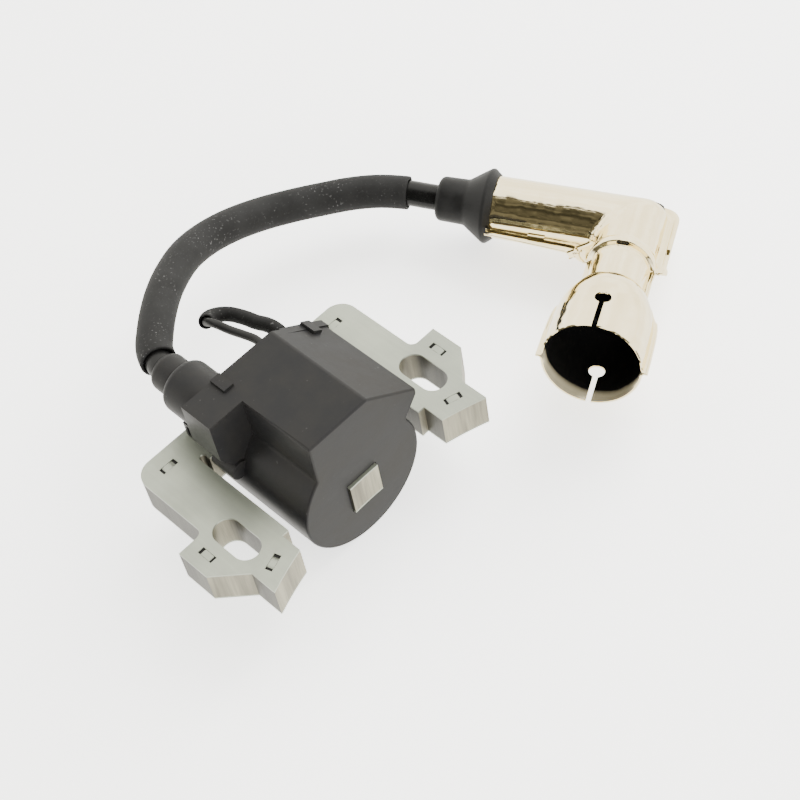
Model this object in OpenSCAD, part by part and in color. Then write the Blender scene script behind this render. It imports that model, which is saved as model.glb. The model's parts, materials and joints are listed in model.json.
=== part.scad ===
// Ignition coil of a small engine: a laminated E-core with a potted coil case, a short
// high-tension lead and a metal-shielded right-angle spark plug cap.
// Millimetres. The origin is midway between the two mounting slots on the core's underside,
// +Z is the stacking direction, +Y points from the flywheel towards the yoke.

/* [Core] */
// Thickness of the whole lamination stack
core_t = 10; // [9:0.5:12]
// Thickness of one sheet of core steel
sheet_t = 0.5; // [0.35:0.05:0.8]
// Width across the two mounting feet
core_w = 86.4; // [85:0.2:90]
// Width across the two outer legs
legs_w = 71.4; // [70.8:0.2:72]
// Width of the centre leg
centre_leg_w = 9.2; // [8.6:0.2:9.6]
// Radius that the pole faces are ground to, for the flywheel
pole_r = 99; // [95:1:105]

/* [Mounting slots] */
// Distance between the two slots
slot_spacing = 63.2; // [62.8:0.2:64]
// Width of a slot, for an M6 screw
slot_w = 7.2; // [6.6:0.2:7.8]
// Length of a slot along Y
slot_l = 14; // [12:0.2:14.4]

/* [Coil case] */
// Outer radius of the round lower part of the case
case_r = 18.6; // [18:0.2:18.8]
// Height of the flat top of the case
case_top = 33.3; // [32.5:0.1:34.5]
// Wall thickness of the case
case_wall = 2; // [1.6:0.1:2.2]

/* [High-tension lead] */
// Outer diameter of the lead
lead_d = 7; // [6.8:0.1:7.1]
// Outer diameter of the loose protective sleeve
sleeve_d = 9.2; // [9:0.1:9.6]

/* [Plug cap] */
// Outer diameter of the cap's round body
cap_d = 17; // [16.8:0.1:17.2]
// Outer diameter of the shield's mouth, to go over a 21 mm hexagon
mouth_d = 25.4; // [25:0.1:26]
// Thickness of the shield's sheet metal
shield_t = 0.5; // [0.4:0.05:0.6]
// Distance from the elbow to the shield's mouth
mouth_at = 55.8; // [54:0.2:58]

/* [Stop wire] */
// Outer diameter of the stop wire
stop_d = 2.2; // [2:0.1:2.4]

/* [Hidden] */
$fn = 64;
gap = 0.05;                       // clearance between pieces that touch

// Core
yoke_y = 33.6;                    // rear edge of the yoke
window_y = 22.5;                  // front edge of the yoke
window_x = 22;                    // inner side of an outer leg
tip_x = 24;                       // inner side of a pole tip
tip_y = -7.6;                     // where the pole tip steps back to the leg
foot_rear_y = 7.7;                // rear edge of a mounting foot
foot_front_y = -2;                // where the foot's front corner is cut off
yoke_corner_r = 5;
foot_fillet_r = 2;
relief_w = 1.8;                   // relief slot in the corner of each window
relief_l = 1.4;
centre_pole_y = -10.7;            // end of the centre leg
pole_centre_y = centre_pole_y - pole_r;
uncut_y = -30;                    // the legs start here, before the pole arc is cut
core_mid_z = core_t / 2;

// Interlocks that hold the sheets together: [x, y, turn]
stakes = [[39.1, 2.2, 90], [30.4, -11.3, -17], [28.3, 28.5, 0]];
stake_l = 4.6;
stake_w = 1.9;
stake_deep = 0.3;

// Coil case, in the X-Z plane
case_front = -10;
case_rear = window_y - 0.1;
case_mid_z = 6.5;                 // axis of the round lower part
case_left = -12.2;
case_ridge_x = 6.3;               // where the top turns into the slope
lip_x = 20.8;
lip_top_z = 22.7;
lip_low_z = 20.9;
under_lip = [16.4, 15.3];
upper_case = [
    [case_left, case_mid_z], [case_left, case_top], [case_ridge_x, case_top],
    [lip_x, lip_top_z], [lip_x, lip_low_z], under_lip, [12, case_mid_z],
];
block_left = -22.6;
block_front = 12.4;
outlet_block = [
    [case_left + 2, case_top], [block_left, case_top], [block_left, 20.5],
    [-19.6, 15.6], [-12, 12], [case_left + 2, 14],
];
block_foot = [-18.6, 12.9];       // axis of the rounded foot under the outlet block
block_foot_r = 2.7;
block_foot_end = 19.4;
boss_x = -15;
boss_z = 26.3;
boss_r = 7;
boss_end = 33;
nose_r = 5;
nose_end = 39.8;
round_r = 2;                      // rounding of the boss's two ends
lead_stop = 26;                   // where the lead ends inside the boss
lip_y = 20.4;                     // front edge of the rear lip
lip_t = 0.5;                      // how far the lip stands out
lip_inner_x = 9;                  // where it runs out into the slope
rib_w = 3;
top_rib_x = -13.3;
top_rib_y = 17.4;
top_rib_h = 0.7;
slope_rib_at = 10.6;              // distance down the slope
slope_rib_y = 18.2;
slope_rib_h = 0.9;

// Winding chamber inside the case
coil_r = 15;
coil_front = -7.6;
coil_rear = 18.6;
former_r = 8;                     // tube that carries the primary winding
primary_r = 10.5;
secondary_bore_r = 11;
secondary_tube_r = 12;
secondary_r = 14.4;
flange_t = 0.8;
flange_over = 0.4;                // flanges stand this far above their winding
secondary_parts = 5;              // the secondary is wound in separate sections
section_pitch = (coil_rear - coil_front - flange_t) / secondary_parts;
leg_clear = 0.3;                  // clearance round the centre leg
resin_face = 21.4;
board_z = 25;
board_size = [12, 18, 1.2];
board_at = [-7, -5.5, board_z];
transistor_at = [-5.5, 4];         // X and Y of its corner on the board
transistor_size = [7, 6.5, 2.6];
transistor_tab = [7, 1.3, 0.8];
capacitor_at = [-6, -4.5];
capacitor_size = [4.5, 3, 2.2];
trigger_at = [0.5, -4.5];
trigger_size = [4, 5, 1.4];
resistor_chips_at = [-6, 1.2];
resistor_chip_size = [2, 1.2, 0.6];
chamber_low = [-9.4, -7.2, 22.4];
chamber_high = [5.4, 16, 30.9];
strap_w = 3;
strap_t = 0.4;
strap_front = 9;
strap_rear = 20.3;
pin_r = 1.5;                      // lead terminal: a round pin with a square tail
pin_start = 15.4;
tail_t = 1.5;
tail_end_x = -9.6;

// High-tension lead: by hand up to the cap, then straight along the cap's axis
cap_turn = 118.7;                 // heading of the cap's body, anticlockwise from +X
cap_pitch = 3.5;                  // rise of the cap's body towards the boot
cap_tilt = 11;                    // rise of the plug socket
cap_at = [107.8, -2.9, -2];       // the elbow, where the cap's two axes cross
cap_axis = [
    cos(cap_turn) * cos(cap_pitch), sin(cap_turn) * cos(cap_pitch), sin(cap_pitch),
];
lead_route = concat(
    [
        [boss_x, lead_stop, boss_z], [boss_x, nose_end + 0.2, boss_z], [-14.4, 42.4, 26.2],
        [-12.4, 46.6, 25.7], [-8.7, 51, 24.8], [-3.8, 56.2, 23.3], [2.4, 61.9, 21.4],
        [9.4, 67.2, 19], [17.2, 71.6, 16.4], [25.6, 74.3, 13.4], [34.6, 75.1, 10.4],
        [43.6, 74.2, 7.5], [52.3, 71.8, 5], [60.4, 68.1, 3.3], [67.9, 63.4, 2.4],
        [73.6, 58, 2], [78.1, 51.4, 1.8],
    ],
    [for (s = [57.4, 50, 24.6]) cap_at + s * cap_axis]
);
sleeve_first = 2;                 // the sleeve runs from this point of the route
sleeve_last = 16;
sleeve_bore_d = 7.8;

// Stop wire and its sleeve
stop_route = [
    [4, 20.4, 26.2], [4.6, 23.2, 26.1], [5.4, 26.4, 25.8], [5.7, 29.8, 25.2], [5.2, 33.6, 24.4],
    [4.5, 37.8, 23.5], [3.8, 42.3, 23], [3.7, 45.1, 21.8], [4.1, 47.8, 19.6], [6.1, 49.7, 17.8],
    [8.8, 49.8, 16.4], [11.3, 48, 15.6], [13, 44.1, 15.5], [14.1, 41.3, 14.9], [15.4, 37.7, 15],
    [15.7, 34, 14.6], [14.3, 30.6, 14], [11.4, 28.3, 13.3], [7.3, 27.6, 12.9], [3, 27.6, 12.9],
    [-2, 27.6, 12.9],
];
stop_sleeve_first = 8;
stop_sleeve_last = 15;
stop_sleeve_d = 3.9;
stop_sleeve_bore_d = 3;
stop_terminal_at = stop_route[len(stop_route) - 1];
crimp_r = 1.5;
crimp_l = 5;
blade_w = 6.2;                    // takes a 4.8 mm tab between its rolled edges
blade_l = 15;

// Plug cap, in its own frame: X along the body to the boot, Y to the mouth, Z across the seam
cap_r = cap_d / 2;
corner_r = 4;                     // outside corner of the elbow
body_end = 37.8;
shoulder_at = 18;
shoulder_r = 9.1;
face_at = shoulder_at - 1.3;      // the shoulder's sloping face runs from here to the neck
neck_at = shoulder_at - 0.2;
neck_r = 7.6;
neck_end = 28.8;
mouth_r = mouth_d / 2;
seam = 0.03;                      // half the gap between the two shield halves
keyhole_at = 44.8;
keyhole_r = 2.1;
keyhole_slot = 1.3;
socket_curve = [
    [neck_end, neck_r], [neck_end + 0.7, neck_r + 0.9], [neck_end + 2.4, neck_r + 2],
    [neck_end + 5, mouth_r - 1.9], [neck_end + 8.4, mouth_r - 0.8],
    [neck_end + 12.4, mouth_r - 0.3], [mouth_at - 6, mouth_r], [mouth_at, mouth_r],
];
insulator_gap = 0.1;
lead_end_at = 24.6;
insulator_end = 33;
boot_start = 31;
boot_bore_r = lead_d / 2 + 0.3;
boot_end = 53.5;
boot_rim_r = 10.25;               // the boot flares from its rim down to its neck
boot_rim_end = 39.7;
boot_neck_r = 6.3;
boot_neck_at = 45.4;
boot_wall_r = cap_r - 0.1;
flange_w_upper = 2.2;             // how far the seam flange stands out under the body
flange_w_lower = 3.7;
drain_w = 1.2;                    // drain hole in the shoulder's face
drain_l = 3.4;
element_bore_r = 2.75;            // bore that holds the resistor, the spring and the lead screw
element_r = 2.5;
screw_r = 2.65;
screw_at = 18.4;
screw_t = 2.2;
point_r = 1.1;
resistor_at = 6.4;
resistor_l = 11.9;
clip_stem_r = 1.75;
clip_stem_at = -1.6;
clip_at = 9.2;
clip_floor = 11;
clip_end = 20;
clip_r = 4.5;
clip_bore_r = 3.2;                // grips a 6.35 mm plug terminal
clip_slot_w = 1;
clip_slot_at = 12.4;
plug_bore_r = 5.7;
plug_bore_at = 20.4;

// ---- Helpers ----

function unit(v) = v / norm(v);

// Direction of a route at point i
function heading(path, i) =
    unit(path[min(i + 1, len(path) - 1)] - path[max(i - 1, 0)]);

// One ring of points round point i of a route
function ring(path, i, r, sides) =
    let (
        t = heading(path, i),
        u = unit(cross(t, [0, 0, 1])),
        w = cross(u, t)
    )
    [for (k = [0 : sides - 1]) path[i] + r * (cos(360 * k / sides) * u + sin(360 * k / sides) * w)];

// Triangles between neighbouring rings, numbered from base
function wall_faces(rings, sides, base, flip) = [
    for (i = [0 : rings - 2]) for (k = [0 : sides - 1])
        let (
            a = base + i * sides + k,
            b = base + i * sides + (k + 1) % sides,
            c = b + sides,
            d = a + sides
        )
        each (flip ? [[c, b, a], [d, c, a]] : [[a, b, c], [a, c, d]])
];

// Solid round cord through the points of a route
module cord(path, d, sides) {
    rings = len(path);
    last = (rings - 1) * sides;
    points = [for (i = [0 : rings - 1]) each ring(path, i, d / 2, sides)];
    faces = concat(
        wall_faces(rings, sides, 0, false),
        [[for (k = [sides - 1 : -1 : 0]) k]],
        [[for (k = [0 : sides - 1]) last + k]]
    );
    polyhedron(points = points, faces = faces, convexity = 6);
}

// Open-ended tube through the points of a route
module hose(path, d, bore, sides) {
    rings = len(path);
    inner = rings * sides;
    last = (rings - 1) * sides;
    points = concat(
        [for (i = [0 : rings - 1]) each ring(path, i, d / 2, sides)],
        [for (i = [0 : rings - 1]) each ring(path, i, bore / 2, sides)]
    );
    start_faces = [
        for (k = [0 : sides - 1]) let (n = (k + 1) % sides) [inner + k, inner + n, n, k]
    ];
    end_faces = [
        for (k = [0 : sides - 1])
            let (n = (k + 1) % sides) [last + k, last + n, inner + last + n, inner + last + k]
    ];
    faces = concat(
        wall_faces(rings, sides, 0, false), wall_faces(rings, sides, inner, true),
        start_faces, end_faces
    );
    polyhedron(points = points, faces = faces, convexity = 6);
}

function slice(list, first, last) = [for (i = [first : last]) list[i]];

// Extrudes an X-Z outline along Y, from y0 to y1
module along_y(y0, y1) {
    translate([0, y1, 0]) rotate([90, 0, 0]) linear_extrude(y1 - y0) children();
}

// Round bar along Y
module bar_y(x, z, r, y0, y1) {
    along_y(y0, y1) translate([x, z]) circle(r);
}

// Box from its lowest to its highest corner
module block(low, high) {
    translate(low) cube(high - low);
}

// Point where two lines cross, each given by a point and a direction
function crossing(p, d, q, e) =
    let (s = ((q[0] - p[0]) * e[1] - (q[1] - p[1]) * e[0]) / (d[0] * e[1] - d[1] * e[0]))
    p + s * d;

// A convex clockwise outline moved inwards by t
function moved_in(pts, t) =
    let (n = len(pts))
    [
        for (i = [0 : n - 1])
            let (
                a = pts[(i + n - 1) % n], b = pts[i], c = pts[(i + 1) % n],
                d = unit(b - a), e = unit(c - b)
            )
            crossing(b + t * [d[1], -d[0]], d, b + t * [e[1], -e[0]], e)
    ];

// ---- Core ----

// Round-ended slot along Y
module slot_hole(h) {
    reach = (slot_l - slot_w) / 2;
    translate([-slot_w / 2, -reach, 0]) cube([slot_w, 2 * reach, h]);
    for (s = [-1, 1]) translate([0, s * reach, 0]) cylinder(h = h, r = slot_w / 2);
}

// One side of the E-shaped sheet, before the pole arc is cut
function side_outline() = [
    [centre_leg_w / 2, uncut_y], [centre_leg_w / 2, window_y], [window_x, window_y],
    [window_x, tip_y], [tip_x, tip_y], [tip_x, uncut_y], [legs_w / 2, uncut_y],
    [legs_w / 2, foot_front_y - (core_w - legs_w) / 2], [core_w / 2, foot_front_y],
    [core_w / 2, foot_rear_y], [legs_w / 2 + foot_fillet_r, foot_rear_y],
    [legs_w / 2, foot_rear_y + foot_fillet_r], [legs_w / 2, yoke_y - yoke_corner_r],
    [legs_w / 2 - yoke_corner_r, yoke_y],
];

module core_plate(t) {
    right = side_outline();
    left = [for (i = [len(right) - 1 : -1 : 0]) [-right[i][0], right[i][1]]];
    difference() {
        union() {
            linear_extrude(t) polygon(concat(right, left));
            for (s = [-1, 1]) translate([s * (legs_w / 2 - yoke_corner_r), yoke_y - yoke_corner_r, 0])
                cylinder(h = t, r = yoke_corner_r);
        }
        for (s = [0, 1]) mirror([s, 0, 0]) translate([0, 0, -1]) {
            translate([slot_spacing / 2, 0, 0]) slot_hole(t + 2);
            // Fillet between the leg and the foot
            translate([legs_w / 2 + foot_fillet_r, foot_rear_y + foot_fillet_r, 0])
                cylinder(h = t + 2, r = foot_fillet_r);
            // Relief slot in the corner of the window
            translate([window_x - relief_w, window_y - 1, 0]) cube([relief_w, relief_l + 1, t + 2]);
            translate([window_x - relief_w / 2, window_y + relief_l, 0])
                cylinder(h = t + 2, r = relief_w / 2);
        }
        translate([0, pole_centre_y, -1]) cylinder(h = t + 2, r = pole_r, $fn = 200);
    }
}

module core_layer(z0, z1) {
    color("#c9cabb") translate([0, 0, z0]) core_plate(z1 - z0);
}

// The interlocks are pressed into the top sheet
module core_top_sheet() {
    difference() {
        core_layer(core_t - sheet_t, core_t);
        color("#8f9086") for (s = [0, 1]) mirror([s, 0, 0]) for (k = stakes)
            translate([k[0], k[1], core_t - stake_deep]) rotate([0, 0, k[2]])
                translate([-stake_l / 2, -stake_w / 2, 0]) cube([stake_l, stake_w, 1]);
    }
}

module core_sheets() {
    core_layer(sheet_t, core_t - sheet_t);
}

module core_bottom_sheet() {
    core_layer(0, sheet_t);
}

// ---- Coil case and what it holds ----

module case_outline() {
    translate([0, case_mid_z]) circle(case_r, $fn = 120);
    polygon(upper_case);
}

module chamber_outline() {
    translate([0, case_mid_z]) circle(case_r - case_wall, $fn = 120);
    polygon(moved_in(upper_case, case_wall));
}

module leg_hole(clear, y0, y1) {
    block(
        [-centre_leg_w / 2 - clear, y0, -clear],
        [centre_leg_w / 2 + clear, y1, core_t + clear]
    );
}

module coil_case() {
    color("#4b4b4c") difference() {
        union() {
            along_y(case_front, case_rear) case_outline();
            along_y(block_front, case_rear) polygon(outlet_block);
            // Rounded foot under the outlet block
            bar_y(block_foot[0], block_foot[1], block_foot_r, block_front - 0.6, block_foot_end);
            outlet_boss();
            rear_lip();
            block(
                [top_rib_x, top_rib_y, case_top - 1], [top_rib_x + rib_w, case_rear, case_top + top_rib_h]
            );
            slope_rib();
        }
        // The rear is open for potting, except behind the outlet boss
        difference() {
            along_y(case_front + case_wall, case_rear + 1) chamber_outline();
            boss_root(0);
        }
        leg_hole(leg_clear - gap, case_front - 1, case_rear);
        bar_y(boss_x, boss_z, lead_d / 2 + 0.1, lead_stop, nose_end + 1);
        terminal_path(gap);
    }
}

// Solid plastic behind the outlet boss
module boss_root(grow) {
    bar_y(boss_x, boss_z, boss_r + 0.5 + grow, case_rear - 8 - grow, case_rear + 3);
}

// Stepped boss with rounded ends, where the lead comes out
module outlet_boss() {
    start = case_rear - 6;
    quarter = [for (k = [0 : 6]) 15 * k];
    profile = concat(
        [[0, start], [boss_r, start]],
        [for (k = quarter) [boss_r - round_r + round_r * cos(k), boss_end - round_r + round_r * sin(k)]],
        [for (k = quarter) [nose_r - round_r + round_r * cos(k), nose_end - round_r + round_r * sin(k)]],
        [[0, nose_end]]
    );
    translate([boss_x, 0, boss_z]) rotate([-90, 0, 0]) rotate_extrude() polygon(profile);
}

// The slope thickens a little to a lip at the rear edge
module rear_lip() {
    slope = (case_top - lip_top_z) / (lip_x - case_ridge_x);
    inner_z = case_top - slope * (lip_inner_x - case_ridge_x);
    along_y(lip_y, case_rear + lip_t) polygon([
        [lip_inner_x, inner_z], [lip_x, lip_top_z + lip_t], [lip_x + lip_t, lip_top_z],
        [lip_x + lip_t, lip_low_z], [lip_x - 1, lip_low_z], [lip_inner_x, inner_z - case_wall],
    ]);
}

// Short raised rib on the slope
module slope_rib() {
    slope = atan2(case_top - lip_top_z, lip_x - case_ridge_x);
    translate([case_ridge_x, 0, case_top]) rotate([0, slope, 0])
        block(
            [slope_rib_at, slope_rib_y, -1], [slope_rib_at + rib_w, case_rear + lip_t, slope_rib_h]
        );
}

// Resin that fills the chamber round the windings and the module
module potting_resin() {
    wall = case_wall + gap;
    color("#26262a") difference() {
        union() {
            bar_y(0, case_mid_z, case_r - wall, case_front + wall, resin_face);
            along_y(case_front + wall, resin_face) polygon(moved_in(upper_case, wall));
        }
        boss_root(gap);
        bar_y(0, core_mid_z, coil_r + gap, coil_front - 1, coil_rear + gap);
        block(chamber_low, chamber_high);
        leg_hole(leg_clear - gap, case_front, case_rear);
        strap_path(gap);
        terminal_path(gap);
    }
}

// Round bar on the windings' axis
module coil_bar(r, y0, y1) {
    bar_y(0, core_mid_z, r, y0, y1);
}

module primary_bobbin() {
    flange_r = primary_r + flange_over;
    color("#d8d4c4") difference() {
        union() {
            coil_bar(former_r, coil_front, coil_rear);
            coil_bar(flange_r, coil_front, coil_front + flange_t);
            coil_bar(flange_r, coil_rear - flange_t, coil_rear);
        }
        leg_hole(leg_clear, coil_front - 1, coil_rear + 1);
    }
}

module primary_winding() {
    inset = flange_t + gap;
    color("#a8592a") difference() {
        coil_bar(primary_r, coil_front + inset, coil_rear - inset);
        coil_bar(former_r + gap, coil_front, coil_rear);
    }
}

module secondary_bobbin() {
    flange_r = secondary_r + flange_over;
    color("#cfd0cc") difference() {
        union() {
            coil_bar(secondary_tube_r, coil_front, coil_rear);
            for (i = [0 : secondary_parts]) {
                start = coil_front + i * section_pitch;
                coil_bar(flange_r, start, start + flange_t);
            }
        }
        coil_bar(secondary_bore_r, coil_front - 1, coil_rear + 1);
    }
}

module secondary_winding() {
    color("#8a3f1c") for (i = [0 : secondary_parts - 1]) difference() {
        start = coil_front + i * section_pitch;
        coil_bar(secondary_r, start + flange_t + gap, start + section_pitch - gap);
        coil_bar(secondary_tube_r + gap, coil_front - 1, coil_rear + 1);
    }
}

module module_board() {
    color("#2f6b45") translate(board_at) cube(board_size);
}

// A block of the given size standing on the board at an X-Y position
module on_board(at, size) {
    translate([at[0], at[1], board_z + board_size[2] + gap]) cube(size);
}

module module_transistor() {
    color("#1d1d1f") on_board(transistor_at, transistor_size);
    color("#b9b9b9") on_board(transistor_at + [0, transistor_size[1]], transistor_tab);
}

module module_parts() {
    color("#c8792c") on_board(capacitor_at, capacitor_size);
    color("#1d1d1f") on_board(trigger_at, trigger_size);
    for (i = [0 : 2])
        color("#e3e0d6") on_board(resistor_chips_at + [3 * i, 0], resistor_chip_size);
}

// Tinned strap from the module down to the centre leg
module strap_path(grow) {
    side = strap_w / 2 + grow;
    top = board_z - gap + grow;
    rear = strap_rear + grow;
    block([-side, strap_front - grow, board_z - gap - strap_t - grow], [side, rear, top]);
    block([-side, strap_rear - strap_t - grow, core_t], [side, rear, top]);
}

module ground_strap() {
    color("#b8bcc0") strap_path(0);
}

// Brass pin from the secondary winding to the end of the lead
module terminal_path(grow) {
    bar_y(boss_x, boss_z, pin_r + grow, pin_start - grow, lead_stop - gap + grow);
    block(
        [boss_x - tail_t / 2 - grow, pin_start - grow, boss_z - tail_t / 2 - grow],
        [tail_end_x + grow, pin_start + tail_t + grow, boss_z + tail_t / 2 + grow]
    );
}

module lead_terminal() {
    color("#c9a04a") terminal_path(0);
}

// ---- High-tension lead ----

module ht_lead() {
    color("#141415") cord(lead_route, lead_d, 12);
}

module lead_sleeve() {
    color("#3c3c3e") hose(slice(lead_route, sleeve_first, sleeve_last), sleeve_d, sleeve_bore_d, 12);
}

// ---- Plug cap ----

module place_cap() {
    translate(cap_at) rotate([0, 0, cap_turn]) rotate([0, -cap_pitch, 0]) rotate([cap_tilt, 0, 0])
        children();
}

// Turns a Z-axis shape to lie along the cap's body (X) or along its socket (Y)
module on_body() {
    rotate([0, 90, 0]) children();
}

module on_socket() {
    rotate([-90, 0, 0]) children();
}

// Right-angle round body with a rounded outer corner, its surface moved in by t
module elbow(t, x_end, y_end) {
    r = cap_r - t;
    c = corner_r - t;
    on_body() cylinder(h = x_end, r = r);
    on_socket() cylinder(h = y_end, r = r);
    intersection() {
        translate([-r, 0, 0]) on_body() cylinder(h = r, r = r);
        translate([0, -r, 0]) on_socket() cylinder(h = r, r = r);
        translate([0, 0, -r]) linear_extrude(2 * r) {
            translate([c - r, -r]) square([r - c, r]);
            translate([-r, c - r]) square([r, r - c]);
            translate([c - r, c - r]) circle(c);
        }
    }
}

// Collar, neck and socket of the shield, turned about the socket's axis
module shield_barrel() {
    outside = concat(
        [[shoulder_at - 5, cap_r - 0.02], [shoulder_at - 3, shoulder_r], [face_at, shoulder_r],
         [neck_at, neck_r]],
        socket_curve
    );
    inside = [for (i = [len(outside) - 1 : -1 : 0]) outside[i] - [0, shield_t]];
    on_socket() rotate_extrude($fn = 96)
        polygon([for (p = concat(outside, inside)) [p[1], p[0]]]);
}

module shield_shell() {
    difference() {
        union() {
            difference() {
                elbow(0, body_end, shoulder_at - 4);
                elbow(shield_t, body_end + 1, shoulder_at + 1);
            }
            shield_barrel();
        }
        // The elbow runs through into the collar
        on_body() cylinder(h = body_end + 1, r = cap_r - shield_t);
    }
}

// The space inside the shield, a little into its wall
module shield_inside() {
    elbow(shield_t / 2, body_end + 1, shoulder_at - 3);
    on_socket() rotate_extrude($fn = 96) polygon(concat(
        [[0, shoulder_at - 4], [shoulder_r - shield_t / 2, shoulder_at - 4],
         [shoulder_r - shield_t / 2, face_at], [neck_r - shield_t / 2, neck_at]],
        [for (p = socket_curve) [p[1] - shield_t / 2, p[0]]],
        [[mouth_r - shield_t / 2, mouth_at + 1], [0, mouth_at + 1]]
    ));
}

// Seam flange beside the neck and the socket, on the +X side; it stands out by w
function socket_flange(w) = [
    [3, 19], [neck_r + w, 19], [neck_r + w, 27.6], [neck_r + 2.2, 29.6],
    [mouth_r - 1.6, 32.4], [mouth_r + 0.1, 35.2], [mouth_r + w, 36.8], [mouth_r + w, mouth_at],
    [3, mouth_at],
];

// All the flat seam flanges; the one under the body stands out by w, the others by less
function flanges(w) = [
    [[6, 3], [6, 16.4], [10.4, 16 + w / 4], [12, cap_r + 1.5 * w], [36.8, cap_r + w], [36.8, 3]],
    [[-3, -3], [1.4 - cap_r - 0.8 * w, -8.8], [-cap_r - 0.8 * w, -6.6],
     [-cap_r - 0.8 * w, shoulder_at - 1.4], [-shoulder_r - 0.5 * w, shoulder_at + 0.3],
     [-3, shoulder_at]],
    socket_flange(0.35 * w),
    [for (p = socket_flange(0.35 * w)) [-p[0], p[1]]],
];

module flange_plates(w) {
    for (outline = flanges(w)) linear_extrude(shield_t) polygon(outline);
}

module keyhole() {
    translate([0, keyhole_at, 0]) cylinder(h = 30, r = keyhole_r);
    block([-keyhole_slot / 2, keyhole_at, 0], [keyhole_slot / 2, mouth_at + 1, 30]);
}

// One half of the shield, on the +Z side, with flanges of width w
module shield_half(w) {
    difference() {
        union() {
            intersection() {
                shield_shell();
                block([-20, -20, seam], [60, 70, 30]);
            }
            difference() {
                translate([0, 0, seam]) flange_plates(w);
                shield_inside();
            }
        }
        keyhole();
    }
}

// Round-ended hole across the top of the shoulder's face
module drain_hole() {
    reach = (drain_l - drain_w) / 2;
    translate([0, face_at + 0.2, (shoulder_r + neck_r) / 2 - 0.15]) on_socket() {
        translate([-reach, -drain_w / 2, 0]) cube([2 * reach, drain_w, 3]);
        for (s = [-1, 1]) translate([s * reach, 0, 0]) cylinder(h = 3, r = drain_w / 2);
    }
}

module shield_upper() {
    color("#d9cfb2") place_cap() difference() {
        shield_half(flange_w_upper);
        drain_hole();
    }
}

module shield_lower() {
    color("#d9cfb2") place_cap() mirror([0, 0, 1]) shield_half(flange_w_lower);
}

module cap_boot() {
    plug_r = cap_r - shield_t - insulator_gap;
    color("#232325") place_cap() on_body() rotate_extrude($fn = 96) polygon([
        [boot_bore_r, boot_start], [plug_r, boot_start], [plug_r, body_end + gap],
        [boot_wall_r, body_end + gap], [boot_wall_r, body_end + 0.4],
        [boot_rim_r, boot_rim_end - 0.4], [boot_rim_r - 0.05, boot_rim_end],
        [boot_neck_r + 0.7, boot_neck_at - 1], [boot_neck_r, boot_neck_at],
        [boot_neck_r - 0.2, boot_end - 0.8], [boot_neck_r - 0.9, boot_end], [boot_bore_r, boot_end],
    ]);
}

module cap_insulator() {
    skin = shield_t + insulator_gap;
    color("#1b1b1d") place_cap() difference() {
        union() {
            elbow(skin, boot_start - gap, face_at);
            on_socket() cylinder(h = insulator_end, r = neck_r - skin);
        }
        translate([lead_end_at - 0.4, 0, 0]) on_body() cylinder(h = 10, r = boot_bore_r);
        translate([-1, 0, 0]) on_body() cylinder(h = lead_end_at + 1, r = element_bore_r);
        translate([0, clip_stem_at - 0.1, 0]) on_socket() cylinder(h = 12, r = clip_stem_r + 0.15);
        translate([0, clip_at - 0.2, 0]) on_socket() cylinder(h = 30, r = clip_r + 0.3);
        translate([0, plug_bore_at, 0]) on_socket() cylinder(h = 30, r = plug_bore_r);
    }
}

// Brass disc and point that meet the end of the lead
module cap_lead_screw() {
    color("#c9a04a") place_cap() {
        translate([screw_at, 0, 0]) on_body() cylinder(h = screw_t, r = screw_r);
        translate([screw_at + screw_t, 0, 0]) on_body()
            cylinder(h = lead_end_at - screw_at - screw_t - 0.3, r = point_r);
    }
}

module cap_resistor() {
    color("#e9e4d6") place_cap() translate([resistor_at, 0, 0]) on_body()
        cylinder(h = resistor_l, r = element_r);
}

// Small spring that presses the resistor against the lead screw
module cap_spring() {
    turns = 3;
    steps = 12;
    wire_d = 0.6;
    turn_r = 1.9;
    first = clip_stem_r + 0.75;
    last = resistor_at - wire_d / 2 - gap;
    helix = [
        for (i = [0 : turns * steps])
            let (f = i / (turns * steps), a = 360 * i / steps)
            [first + f * (last - first), turn_r * cos(a), turn_r * sin(a)]
    ];
    color("#c4c6c8") place_cap() cord(helix, wire_d, 6);
}

// Sprung brass clip that grips the plug's terminal
module plug_clip() {
    color("#c9a04a") place_cap() difference() {
        union() {
            translate([0, clip_stem_at, 0]) on_socket() cylinder(h = clip_at + 2, r = clip_stem_r);
            translate([0, clip_at, 0]) on_socket() cylinder(h = clip_end - clip_at, r = clip_r);
        }
        translate([0, clip_floor, 0]) on_socket() cylinder(h = 12, r = clip_bore_r);
        for (turn = [0, 90]) translate([0, clip_slot_at, 0]) rotate([0, turn, 0])
            block([-clip_slot_w / 2, 0, -6], [clip_slot_w / 2, 10, 6]);
    }
}

// ---- Stop wire ----

module stop_wire() {
    color("#161617") cord(stop_route, stop_d, 8);
}

module stop_wire_sleeve() {
    color("#39393b")
        hose(slice(stop_route, stop_sleeve_first, stop_sleeve_last), stop_sleeve_d, stop_sleeve_bore_d, 8);
}

// Flat push-on receptacle: crimp barrel, then the blade with rolled edges
module stop_terminal() {
    edge_t = 0.9;
    color("#c5c2b4") translate(stop_terminal_at) {
        rotate([0, -90, 0]) cylinder(h = crimp_l, r = crimp_r);
        block([-blade_l, -blade_w / 2, -edge_t], [0.4 - crimp_l, blade_w / 2, 0.4 - edge_t]);
        for (s = [-1, 1]) translate([0, s * (blade_w - edge_t) / 2, 0])
            block([-blade_l, -edge_t / 2, -edge_t], [-crimp_l - 1, edge_t / 2, edge_t]);
    }
}

module stop_terminal_boot() {
    color("#2a2a2c") translate(stop_terminal_at) difference() {
        block([-17, -4.4, -2.6], [-0.4, 4.4, 2.4]);
        block([-17.5, -3.5, -1.8], [-3, 3.5, 1.6]);
        rotate([0, -90, 0]) cylinder(h = 6, r = crimp_r + 0.1);
    }
}

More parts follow.
